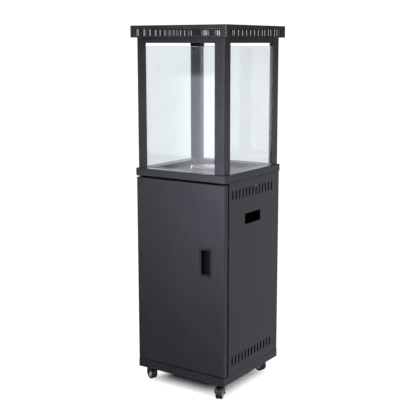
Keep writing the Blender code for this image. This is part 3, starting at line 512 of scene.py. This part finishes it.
alumina, tree = new_finish("glazed_alumina")
place = add_node(tree, "TexCoord").outputs["Object"]
soot = add_node(tree, "TexNoise", {"Vector": place, "Scale": 160.0, "Detail": 4.0}).outputs["Fac"]
glazed = add_node(tree, "Bump", {"Strength": 0.1, "Distance": 0.0002, "Height": soot}).outputs[0]
sooty = add_node(tree, "MapRange", {0: soot, 1: 0.5, 2: 0.75, 3: 0.0, 4: 0.7}).outputs[0]
shade = add_node(tree, "Mix", {0: sooty, 6: linear("#e6e2d8"), 7: linear("#9b9184")},
                 data_type="RGBA").outputs[2]
gloss = add_node(tree, "MapRange", {0: soot, 1: 0.3, 2: 0.7, 3: 0.16, 4: 0.34}).outputs[0]
shader = add_node(tree, "BsdfPrincipled", {"Base Color": shade, "Roughness": gloss, "IOR": 1.76,
                                           "Normal": glazed})
add_node(tree, "OutputMaterial", {"Surface": shader.outputs[0]})
low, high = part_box("electrode")
at_electrode = upright((low, high))
ribbed = [(0.0, low.z)] + [(0.0034 - 0.0005 * (i % 2), low.z + 0.0035 * i) for i in range(7)]
bm = turned(ribbed + [(0.0030, high.z - 0.0066), (0.0, high.z - 0.0062)], at_electrode, 20)
keep_piece("alumina_sleeve", bm, alumina, "cabinet", ["electrode"], 30)
bm = turned([(0.0, high.z - 0.0070), (0.0010, high.z - 0.0070), (0.0010, high.z - 0.0006),
             (0.0005, high.z), (0.0, high.z)], at_electrode, 12)
keep_piece("spark_pin", bm, tub_steel, "cabinet", smooth=30)
low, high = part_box("thermocouple")
bm = turned([(0.0, low.z), (0.0025, low.z), (0.0027, low.z + 0.001), (0.0027, low.z + 0.014),
             (0.0021, low.z + 0.015), (0.0021, high.z - 0.0022), (0.0014, high.z - 0.0004),
             (0.0, high.z)], upright((low, high)), 20)
keep_piece("thermocouple_tip", bm, tub_steel, "cabinet", ["thermocouple"], 30)

# ---- Control panel, knob and igniter
# A small folded panel hangs behind the door. It carries the gas valve with its knob, a piezo igniter
# and the tilt switch. The scale round the knob is a printed arc of dots that grow with the flame.
folded_sheet("control_panel_sheet", "control_panel", 0.0003)
panel_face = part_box("control_panel")[0].y + 0.014
knob_low, knob_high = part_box("control_knob")
knob_x, knob_z = (knob_low.x + knob_high.x) / 2, (knob_low.z + knob_high.z) / 2
DOTS, DOT_ARC, DOT_RING = 9, math.radians(240), 0.0275
printed_white, tree = new_finish("pad_printed_white_ink")
place = add_node(tree, "TexCoord").outputs["Object"]
patch = add_node(tree, "TexNoise", {"Vector": place, "Scale": 500.0, "Detail": 3.0}).outputs["Fac"]
thin = add_node(tree, "MapRange", {0: patch, 1: 0.5, 2: 0.8, 3: 0.0, 4: 0.6}).outputs[0]
shade = add_node(tree, "Mix", {0: thin, 6: linear("#d8d8d4"), 7: linear("#9a9a97")},
                 data_type="RGBA").outputs[2]
gloss = add_node(tree, "MapRange", {0: patch, 1: 0.3, 2: 0.7, 3: 0.45, 4: 0.6}).outputs[0]
shader = add_node(tree, "BsdfPrincipled", {"Base Color": shade, "Roughness": gloss})
add_node(tree, "OutputMaterial", {"Surface": shader.outputs[0]})
bm = bmesh.new()
for i in range(DOTS):
    angle = math.radians(90) + DOT_ARC / 2 - DOT_ARC * i / (DOTS - 1)
    size = 0.0008 + 0.00014 * i
    spot = (knob_x + DOT_RING * math.cos(angle), panel_face, knob_z + DOT_RING * math.sin(angle))
    add_shape(bm, turned([(0.0, 0.0), (size, 0.0), (size * 0.9, 0.00015), (0.0, 0.00015)],
                         pointing(spot, (0, -1, 0)), 12))
keep_piece("printed_scale", bm, printed_white, "cabinet", smooth=30)

phenolic = moulded_plastic("satin_black_phenolic", "#1b1b1d", "#29292b", 0.34, 0.0009)
along_y = Matrix.Translation((knob_x, 0, knob_z)) @ Matrix.Rotation(-math.pi / 2, 4, "X")
face_y, rear_y = knob_low.y, knob_high.y
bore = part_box("valve_stem")[0].y - 0.0003
bm = turned([(0.0, face_y + 0.0004), (0.0140, face_y), (0.0163, face_y + 0.0004),
             (0.0178, face_y + 0.0020), (0.0182, face_y + 0.0060), (0.0186, face_y + 0.0100),
             (0.0190, face_y + 0.0132), (0.0215, face_y + 0.0146), (0.0220, face_y + 0.0156),
             (0.0220, rear_y - 0.0006), (0.0214, rear_y), (0.0044, rear_y), (0.0044, bore),
             (0.0, bore)], steps=72)
GRIPS, GRIP_DEEP = 12, 0.07
for v in bm.verts:
    if 0.0170 < v.co.xy.length < 0.0192 and v.co.z < face_y + 0.0135:
        grip = 0.5 + 0.5 * math.cos(GRIPS * math.atan2(v.co.y, v.co.x))
        v.co.xy *= 1 - GRIP_DEEP * grip ** 2
bmesh.ops.transform(bm, matrix=along_y, verts=bm.verts)
add_shape(bm, block((knob_x - 0.0015, face_y - 0.0006, knob_z + 0.004),
                    (knob_x + 0.0015, face_y + 0.001, knob_z + 0.0155), 0.0004))
keep_piece("fluted_knob", bm, phenolic, "knob", ["control_knob"], 28)
keep_piece("knob_pointer", block((knob_x - 0.0008, face_y - 0.00075, knob_z + 0.0055),
                                 (knob_x + 0.0008, face_y - 0.0005, knob_z + 0.0148), 0.0001),
           printed_white, "knob")
low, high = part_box("valve_stem")
turned_steel = plain_metal("zinc_plated_steel", "#b4b6b9", "#8d8f90", 0.26, 0.44, 0.018)
bm = turned([(0.0, low.y), (0.0034, low.y), (0.0040, low.y + 0.0006), (0.0040, low.y + 0.013),
             (0.0036, low.y + 0.0134), (0.0036, low.y + 0.0146), (0.0040, low.y + 0.015),
             (0.0040, high.y), (0.0, high.y)], along_y, 24)
keep_piece("grooved_valve_stem", bm, turned_steel, "stem", ["valve_stem"], 30)

body_low, body_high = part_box("igniter_body")
igniter_x, igniter_z = (body_low.x + body_high.x) / 2, (body_low.z + body_high.z) / 2
through = Matrix.Translation((igniter_x, 0, igniter_z)) @ Matrix.Rotation(-math.pi / 2, 4, "X")
threads = []
for i in range(9):
    threads += [(0.0110, body_low.y + 0.0040 + 0.0016 * i), (0.0104, body_low.y + 0.0048 + 0.0016 * i)]
bm = turned([(0.0084, body_low.y + 0.024), (0.0084, body_low.y), (0.0110, body_low.y)] + threads + [
    (0.0108, body_high.y - 0.0085), (0.0100, body_high.y - 0.0070), (0.0042, body_high.y - 0.0062),
    (0.0040, body_high.y), (0.0006, body_high.y), (0.0006, body_low.y + 0.024)], through, 36)
keep_piece("threaded_igniter", bm, abs_plastic, "cabinet", ["igniter_body"], 30)
bm = turned([(0.0086, panel_face - 0.0003), (0.0086, panel_face - 0.0016),
             (0.0096, panel_face - 0.0024), (0.0122, panel_face - 0.0020),
             (0.0130, panel_face - 0.0003)], through, 36)
keep_piece("igniter_bezel", bm, turned_steel, "cabinet", smooth=30)
low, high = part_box("igniter_button")
bm = turned([(0.0, low.y + 0.0010), (0.0030, low.y + 0.0008), (0.0058, low.y + 0.0001), (0.0070, low.y),
             (0.0078, low.y + 0.0007), (0.0080, low.y + 0.0016), (0.0080, high.y), (0.0, high.y)],
            through, 36)
keep_piece("dished_igniter_button", bm, phenolic, "button", ["igniter_button"], 30)
low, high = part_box("tilt_switch")
bm = block(low, high, 0.0016, 3)
for x in (low.x + 0.009, high.x - 0.009):
    add_shape(bm, block((x - 0.0032, high.y - 0.0005, low.z + 0.005),
                        (x + 0.0032, high.y + 0.006, low.z + 0.0058)))
keep_piece("tilt_switch_case", bm, abs_plastic, "cabinet", ["tilt_switch"], 30)

# ---- Gas valve, fittings and tubes
# A die-cast zinc valve with flanged face and four cover screws. Brass flare nuts hold the annealed
# copper tubes, and a ribbed brass tail takes the bottle's hose.
die_cast = plain_metal("die_cast_zinc", "#8f9194", "#6d6f72", 0.36, 0.52, 0.012, 0.3)
folded_sheet("die_cast_valve", "gas_valve", 0.0006, finish=die_cast)
low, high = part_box("gas_valve")
case_rear = high.y - 0.006
button_screws("valve_cover_screws", [(low.x + 0.005, case_rear - 0.0001, low.z + 0.005),
                                     (high.x - 0.005, case_rear - 0.0001, low.z + 0.005)],
              (0, 1, 0), 0.0026, turned_steel)
valve_z = (low.z + high.z) / 2
bm = bmesh.new()
for x, z, across, reach in ((knob_x, valve_z, 0.016, high.y),
                            (knob_x - 0.013, valve_z + 0.010, 0.0095, high.y - 0.002),
                            (knob_x + 0.013, valve_z + 0.010, 0.0085, high.y - 0.002)):
    add_shape(bm, hexagon(across, 0.0, 0.009, pointing((x, reach - 0.005, z), (0, 1, 0))))
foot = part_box("orifice")[0].z
add_shape(bm, hexagon(0.0180, foot + 0.0035, foot + 0.0105))
add_shape(bm, hexagon(0.0150, foot - 0.0045, foot + 0.0025))
keep_piece("brass_flare_nuts", bm, free_brass, "cabinet")
bm = turned([(0.0008, foot), (0.0080, foot), (0.0085, foot + 0.0006), (0.0085, foot + 0.0115),
             (0.0050, foot + 0.0122), (0.0050, foot + 0.0170), (0.0090, foot + 0.0172),
             (0.0092, foot + 0.0180), (0.0092, foot + 0.0218), (0.0030, foot + 0.0240),
             (0.0008, foot + 0.0240)], steps=32)
keep_piece("injector_and_air_collar", bm, free_brass, "cabinet", ["orifice"], 30)
low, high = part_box("inlet_fitting")
at_tail = upright((low, high))
ribs = []
for i in range(3):
    ribs += [(0.0048, high.z - 0.0118 - 0.009 * i), (0.0062, high.z - 0.0142 - 0.009 * i)]
bm = turned([(0.0025, high.z), (0.0080, high.z), (0.0080, high.z - 0.0098),
             (0.0050, high.z - 0.0108)] + ribs + [(0.0044, low.z + 0.001), (0.0040, low.z),
                                                  (0.0025, low.z)], at_tail, 32)
add_shape(bm, hexagon(0.0176, high.z - 0.0088, high.z - 0.0022, at_tail))
keep_piece("ribbed_hose_tail", bm, free_brass, "cabinet", ["inlet_fitting"], 30)


def smoothed(name, node, finish):
    """A tube or lead along its packed route, drawn round by subdivision."""
    piece = keep_piece(name, merged_copy(node), finish, "cabinet", [node], 60)
    rounder = piece.modifiers.new("round", "SUBSURF")
    rounder.levels = 2
    rounder.render_levels = 2
    return piece


soft_copper = plain_metal("annealed_copper_tube", "#b87355", "#7d4c38", 0.22, 0.42, 0.014)
smoothed("bent_supply_tube", "supply_tube", soft_copper)
smoothed("bent_pilot_tube", "pilot_tube", soft_copper)
smoothed("bent_thermocouple_lead", "thermocouple_lead", soft_copper)
silicone, tree = new_finish("silicone_rubber_insulation")
place = add_node(tree, "TexCoord").outputs["Object"]
patch = add_node(tree, "TexNoise", {"Vector": place, "Scale": 260.0, "Detail": 3.0}).outputs["Fac"]
soft = add_node(tree, "Bump", {"Strength": 0.2, "Distance": 0.0002, "Height": patch}).outputs[0]
dusty = add_node(tree, "MapRange", {0: patch, 1: 0.4, 2: 0.75, 3: 0.0, 4: 0.6}).outputs[0]
shade = add_node(tree, "Mix", {0: dusty, 6: linear("#8c2b24"), 7: linear("#a8554b")},
                 data_type="RGBA").outputs[2]
gloss = add_node(tree, "MapRange", {0: patch, 1: 0.3, 2: 0.7, 3: 0.42, 4: 0.6}).outputs[0]
shader = add_node(tree, "BsdfPrincipled", {"Base Color": shade, "Roughness": gloss, "IOR": 1.43,
                                           "Normal": soft})
add_node(tree, "OutputMaterial", {"Surface": shader.outputs[0]})
smoothed("high_tension_lead", "ignition_wire", silicone)

# ---- Door hinges and catch
# Black zinc-plated brackets with pressed-in pins, one under the deck and one on the tray, and a
# magnet in a black ABS case between two bright zinc-plated pole plates.
black_zinc = plain_metal("black_zinc_plate", "#2b2b2e", "#1c1c1e", 0.30, 0.46, 0.012)
for level in ("lower", "upper"):
    folded_sheet(level + "_hinge_bracket", level + "_hinge", 0.0002, finish=black_zinc)
low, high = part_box("door_catch")
keep_piece("magnet_case", block(low, high, 0.0005), abs_plastic, "cabinet",
           ["door_catch"])
bm = bmesh.new()
for z in (low.z + 0.012, high.z - 0.012):
    add_shape(bm, block((low.x + 0.001, low.y - 0.0002, z - 0.0014),
                        (high.x - 0.001, high.y - 0.0004, z + 0.0014), 0.0001))
keep_piece("magnet_pole_plates", bm, turned_steel, "cabinet")

# ---- Casters
# Twin-tread swivel casters: a black steel top plate and raceway, a black pressed fork whose legs taper
# to the axle, and a wheel of soft black tread over a pale grey moulded hub on each side.
AXLE_NUT, CASTER_SCREW = 0.0088, 0.0030
PLATE_THICK, PLATE_CORNER, PLATE_BOLT = 0.0022, 0.005, 0.0175
SPOKES, HUB_STEPS = 6, 30
FORK_CRISP = math.radians(40)  # the legs' gentler bends stay as they are
caster_paint = powder_coat("satin_black_caster_paint", "#0c0c0d", "#1d1d1f", "#2c2c2b", 0.26, 0.36)
tread = moulded_plastic("thermoplastic_rubber_tread", "#0d0d0e", "#1b1b1c", 0.44, 0.0016)
hub_plastic = moulded_plastic("grey_polypropylene_hub", "#a9a9a7", "#8c8c8a", 0.36, 0.0010)
for corner in CORNERS:
    low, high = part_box("caster_plate_" + corner)
    centre = (low + high) / 2
    top = high.z
    bm = block((low.x, low.y, top - PLATE_THICK), (high.x, high.y, top))
    uprights = [edge for edge in bm.edges if abs(edge.verts[0].co.z - edge.verts[1].co.z) > 0.001]
    bmesh.ops.bevel(bm, geom=uprights, affect="EDGES", offset=PLATE_CORNER, segments=4, profile=0.5,
                    material=-1)
    add_shape(bm, turned([
        (0.0, top - 0.0105), (0.0052, top - 0.0105), (0.0062, top - 0.0100), (0.0062, top - 0.0088),
        (0.0040, top - 0.0086), (0.0040, top - 0.0054), (0.0140, top - 0.0052), (0.0150, top - 0.0046),
        (0.0160, top - 0.0020), (0.0, top - 0.0018)], Matrix.Translation((centre.x, centre.y, 0)), 28))
    keep_piece("caster_top_plate_" + corner, bm, caster_paint, "cabinet",
               ["caster_plate_" + corner], 35)
    button_screws("caster_plate_screws_" + corner, [
        (centre.x + PLATE_BOLT * x, centre.y + PLATE_BOLT * y, top - PLATE_THICK)
        for x, y in CORNERS.values()], (0, 0, -1), CASTER_SCREW, turned_steel)
    axle = Vector(joints["roll_" + corner]["pos_m"])
    across = Vector(joints["roll_" + corner]["axis"]).normalized()
    bm = merged_copy("caster_fork_" + corner)
    crisp = [edge for edge in bm.edges if edge.calc_face_angle(0.0) > FORK_CRISP]
    bmesh.ops.bevel(bm, geom=crisp, affect="EDGES", offset=0.0005, segments=2, profile=0.5, material=-1,
                    clamp_overlap=True)
    keep_piece("pressed_fork_" + corner, bm, caster_paint, "fork_" + corner,
               ["caster_fork_" + corner])
    bm = bmesh.new()
    for way in (1, -1):
        add_shape(bm, hexagon(AXLE_NUT, 0.0195, 0.0218, pointing(axle, across * way)))
    keep_piece("axle_nuts_" + corner, bm, turned_steel, "fork_" + corner)
    wheel_place = pointing(axle, across)
    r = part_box("caster_wheel_" + corner)[1].z / 2
    half = [(r - 0.0022, 0.0008), (r - 0.0012, 0.0014), (r - 0.0003, 0.0026), (r, 0.0040),
            (r, 0.0085), (r - 0.0004, 0.0104), (r - 0.0014, 0.0118), (r - 0.0030, 0.0125),
            (r - 0.0052, 0.0124), (r - 0.0060, 0.0112)]
    ring = [(radius, -height) for radius, height in half[::-1]] + half
    bm = turned(ring + [(r - 0.0070, 0.0108), (r - 0.0070, -0.0108)], wheel_place, 48)
    keep_piece("soft_tread_" + corner, bm, tread, "wheel_" + corner,
               ["caster_wheel_" + corner], 35)
    half = [(r - 0.0071, 0.0106), (r - 0.0078, 0.0120), (0.0125, 0.0124), (0.0108, 0.0128),
            (0.0088, 0.0140), (0.0080, 0.0154), (0.0062, 0.0155), (0.0034, 0.0155)]
    ring = half[::-1] + [(radius, -height) for radius, height in half]
    bm = turned(ring[::-1], Matrix.Identity(4), HUB_STEPS)
    spaces = [face for face in bm.faces if abs(face.normal.z) > 0.9
              and 0.0126 < face.calc_center_median().xy.length < r - 0.0079]
    spaces.sort(key=bearing_of)
    hollows = [face for face in spaces if int((bearing_of(face) + math.pi) / math.tau * HUB_STEPS)
               % (HUB_STEPS // SPOKES) != 0]
    bmesh.ops.inset_region(bm, faces=hollows, thickness=0.0004, depth=-0.0016, use_even_offset=True)
    bmesh.ops.transform(bm, matrix=wheel_place, verts=bm.verts)
    keep_piece("spoked_hub_" + corner, bm, hub_plastic, "wheel_" + corner, smooth=35)

# ---- Fixings of the cabinet and cap
# Black M4 button-head screws hold the back panel to its neighbours from behind, and the cap's lip to
# the welded rails from below.
BODY_SCREW, AT_LIP = 0.0035, 0.159
black_screw = powder_coat("blacked_screw_steel", "#18181a", "#4c4c4e", "#5a5957", 0.28, 0.40)
low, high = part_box("back_panel")
rows = (low.z + 0.022, (low.z + high.z) / 2, high.z - 0.018)
button_screws("back_panel_screws",
              [(x, high.y, z) for z in rows for x in (low.x + 0.013, high.x - 0.013)],
              (0, 1, 0), BODY_SCREW, black_screw)
under_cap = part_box("cap")[0].z
button_screws("cap_screws", [(x * AT_LIP, y * AT_LIP, under_cap) for x, y in (
    (-1, -1), (1, -1), (1, 1), (-1, 1), (0, -1), (1, 0), (0, 1), (-1, 0))], (0, 0, -1),
    BODY_SCREW, black_screw)

# ---- Floor, backdrop and light
# A seamless white floor and surround that camera and glass see. Past a short way out from the cabinet
# the floor glows pure white: painted light that hides the cabinet's cast shadow except under it. What
# glosses the coat and the panes is a room painted in the world: dark above, with a bright band below
# the horizon in front. A big soft light hangs overhead, with two small ones low in front and at the
# side.
FLOOR_RADIUS, BACKDROP_TALL = 9.0, 8.0
GLOW = 1.1
SHADOW_FROM, SHADOW_TO = 0.115, 0.20  # from the middle; past the second the floor glows pure white


def stage_piece(name, bm, finish):
    """A surface of the room, hidden from gloss and bounced light, which see the painted room."""
    mesh = bpy.data.meshes.new(name)
    bm.to_mesh(mesh)
    bm.free()
    mesh.materials.append(finish)
    made = bpy.data.objects.new(name, mesh)
    bpy.context.scene.collection.objects.link(made)
    made.visible_glossy = False
    made.visible_diffuse = False
    return made


floor_with_painted_glow, tree = new_finish("white_floor_paint_and_painted_glow")
place = add_node(tree, "TexCoord").outputs["Object"]
folded = add_node(tree, "VectorMath", {0: place}, operation="ABSOLUTE").outputs[0]
sides = add_node(tree, "SeparateXYZ", {0: folded})
outward = add_node(tree, "Math", {0: sides.outputs["X"], 1: sides.outputs["Y"], 2: 0.05},
                   operation="SMOOTH_MAX").outputs[0]
paint = add_node(tree, "BsdfPrincipled", {"Base Color": linear("#f6f6f6"), "Roughness": 0.9})
glow = add_node(tree, "Emission", {"Color": linear("#ffffff"), "Strength": GLOW})
# Painted light: past SHADOW_TO the lit floor paint is swapped for a white glow, so the cast shadow
# stays only under the cabinet.
painted_glow_share = add_node(tree, "MapRange", {0: outward, 1: SHADOW_FROM, 2: SHADOW_TO},
               interpolation_type="SMOOTHSTEP").outputs[0]
both = add_node(tree, "MixShader", {0: painted_glow_share, 1: paint.outputs[0], 2: glow.outputs[0]})
add_node(tree, "OutputMaterial", {"Surface": both.outputs[0]})
bm = bmesh.new()
bmesh.ops.create_circle(bm, cap_ends=True, segments=96, radius=FLOOR_RADIUS)
stage_piece("floor", bm, floor_with_painted_glow)

lit_white, tree = new_finish("lit_white_backdrop")
glow = add_node(tree, "Emission", {"Color": linear("#ffffff"), "Strength": GLOW})
add_node(tree, "OutputMaterial", {"Surface": glow.outputs[0]})
bm = bmesh.new()
bmesh.ops.create_cone(bm, cap_ends=False, segments=96, radius1=FLOOR_RADIUS, radius2=FLOOR_RADIUS,
                      depth=BACKDROP_TALL,
                      matrix=Matrix.Translation((0, 0, BACKDROP_TALL / 2 - 0.05)))
bmesh.ops.reverse_faces(bm, faces=bm.faces)
stage_piece("backdrop", bm, lit_white).visible_shadow = False

world = bpy.data.worlds.new("studio")
bpy.context.scene.world = world
world.use_nodes = True
tree = world.node_tree
tree.nodes.clear()


def room_profile(value, low, high, stops):
    """Brightness of the room along one direction: stops are (value, brightness) pairs."""
    share = add_node(tree, "MapRange", {0: value, 1: low, 2: high, 3: 0.0, 4: 1.0}).outputs[0]
    ramp = add_node(tree, "ValToRGB", {0: share})
    ramp.color_ramp.elements.remove(ramp.color_ramp.elements[0])
    for i, (at, level) in enumerate(stops):
        along = (at - low) / (high - low)
        stop = ramp.color_ramp.elements[0] if i == 0 else ramp.color_ramp.elements.new(along)
        stop.position = along
        stop.color = (level, level, level, 1.0)
    return ramp.outputs[0]


def room_half(rise_stops, bearing_stops, tint):
    """Light from one half of the room: its profile up the wall, times that round it, times a tint."""
    light = linear(tint)
    for profile in (room_profile(bearing, -math.pi, math.pi, bearing_stops),
                    room_profile(rise, -1.0, 1.0, rise_stops)):
        light = add_node(tree, "Mix", {0: 1.0, 6: profile, 7: light}, data_type="RGBA",
                         blend_type="MULTIPLY").outputs[2]
    return light


toward = add_node(tree, "SeparateXYZ", {0: add_node(tree, "TexCoord").outputs["Generated"]})
forward = add_node(tree, "Math", {0: toward.outputs["Y"], 1: -1.0}, operation="MULTIPLY").outputs[0]
bearing = add_node(tree, "Math", {0: toward.outputs["X"], 1: forward}, operation="ARCTAN2").outputs[0]
rise = toward.outputs["Z"]
FRONT_RISE = [(-1.0, 0.035), (-0.46, 0.07), (-0.338, 0.18), (-0.257, 0.36), (-0.17, 0.90),
              (-0.11, 1.0), (-0.063, 0.88), (-0.039, 0.85), (-0.033, 0.015), (0.25, 0.015),
              (1.0, 0.08)]
FRONT_BEARING = [(-1.2, 0.02), (-0.635, 0.04), (-0.600, 1.0), (1.0, 1.0), (1.5, 0.3), (2.0, 0.0)]
BACK_RISE = [(-1.0, 0.08), (-0.40, 0.125), (-0.05, 0.15), (-0.015, 0.04), (0.03, 0.012), (1.0, 0.05)]
BACK_BEARING = [(-2.2, 1.0), (-1.6, 0.3), (-1.1, 0.0), (1.0, 0.0), (1.6, 0.6), (2.2, 1.0)]
ROOM_STRENGTH = 4.6
front = room_half(FRONT_RISE, FRONT_BEARING, "#e8ebff")
back = room_half(BACK_RISE, BACK_BEARING, "#f4f5ff")
room = add_node(tree, "Mix", {0: 1.0, 6: front, 7: back}, data_type="RGBA",
                blend_type="ADD").outputs[2]
glow = add_node(tree, "Background", {"Color": room, "Strength": ROOM_STRENGTH})
add_node(tree, "OutputWorld", {"Surface": glow.outputs[0]})


def soft_light(name, place, aim, width, tall, power):
    """A rectangle of light that the camera doesn't see, turned towards the aim."""
    lamp = bpy.data.lights.new(name, "AREA")
    lamp.shape = "RECTANGLE"
    lamp.size = width
    lamp.size_y = tall
    lamp.energy = power
    made = bpy.data.objects.new(name, lamp)
    bpy.context.scene.collection.objects.link(made)
    made.location = place
    made.rotation_euler = (Vector(aim) - Vector(place)).to_track_quat("-Z", "Y").to_euler()
    made.visible_camera = False
    return made


soft_light("overhead", (0.1, -0.2, 3.4), (0, 0, 0), 3.0, 3.0, 190).visible_glossy = False
soft_light("low_front", (-0.3, -3.0, 2.0), (0, -0.1, 0), 1.4, 0.8, 70)
soft_light("low_side", (3.0, 0.3, 1.6), (0.1, 0, 0), 1.4, 0.8, 52)

camera_data = bpy.data.cameras.new("camera")
camera_data.lens = 74.65
camera_data.shift_y = -0.030  # lifts the object a little in the frame
camera = bpy.data.objects.new("camera", camera_data)
bpy.context.scene.collection.objects.link(camera)
camera.location = (1.8507, -2.7662, 1.3247)
camera.rotation_euler = (math.radians(90 - 9.952), 0, math.radians(33.856))
bpy.context.scene.camera = camera
bpy.context.scene.view_settings.view_transform = "Standard"
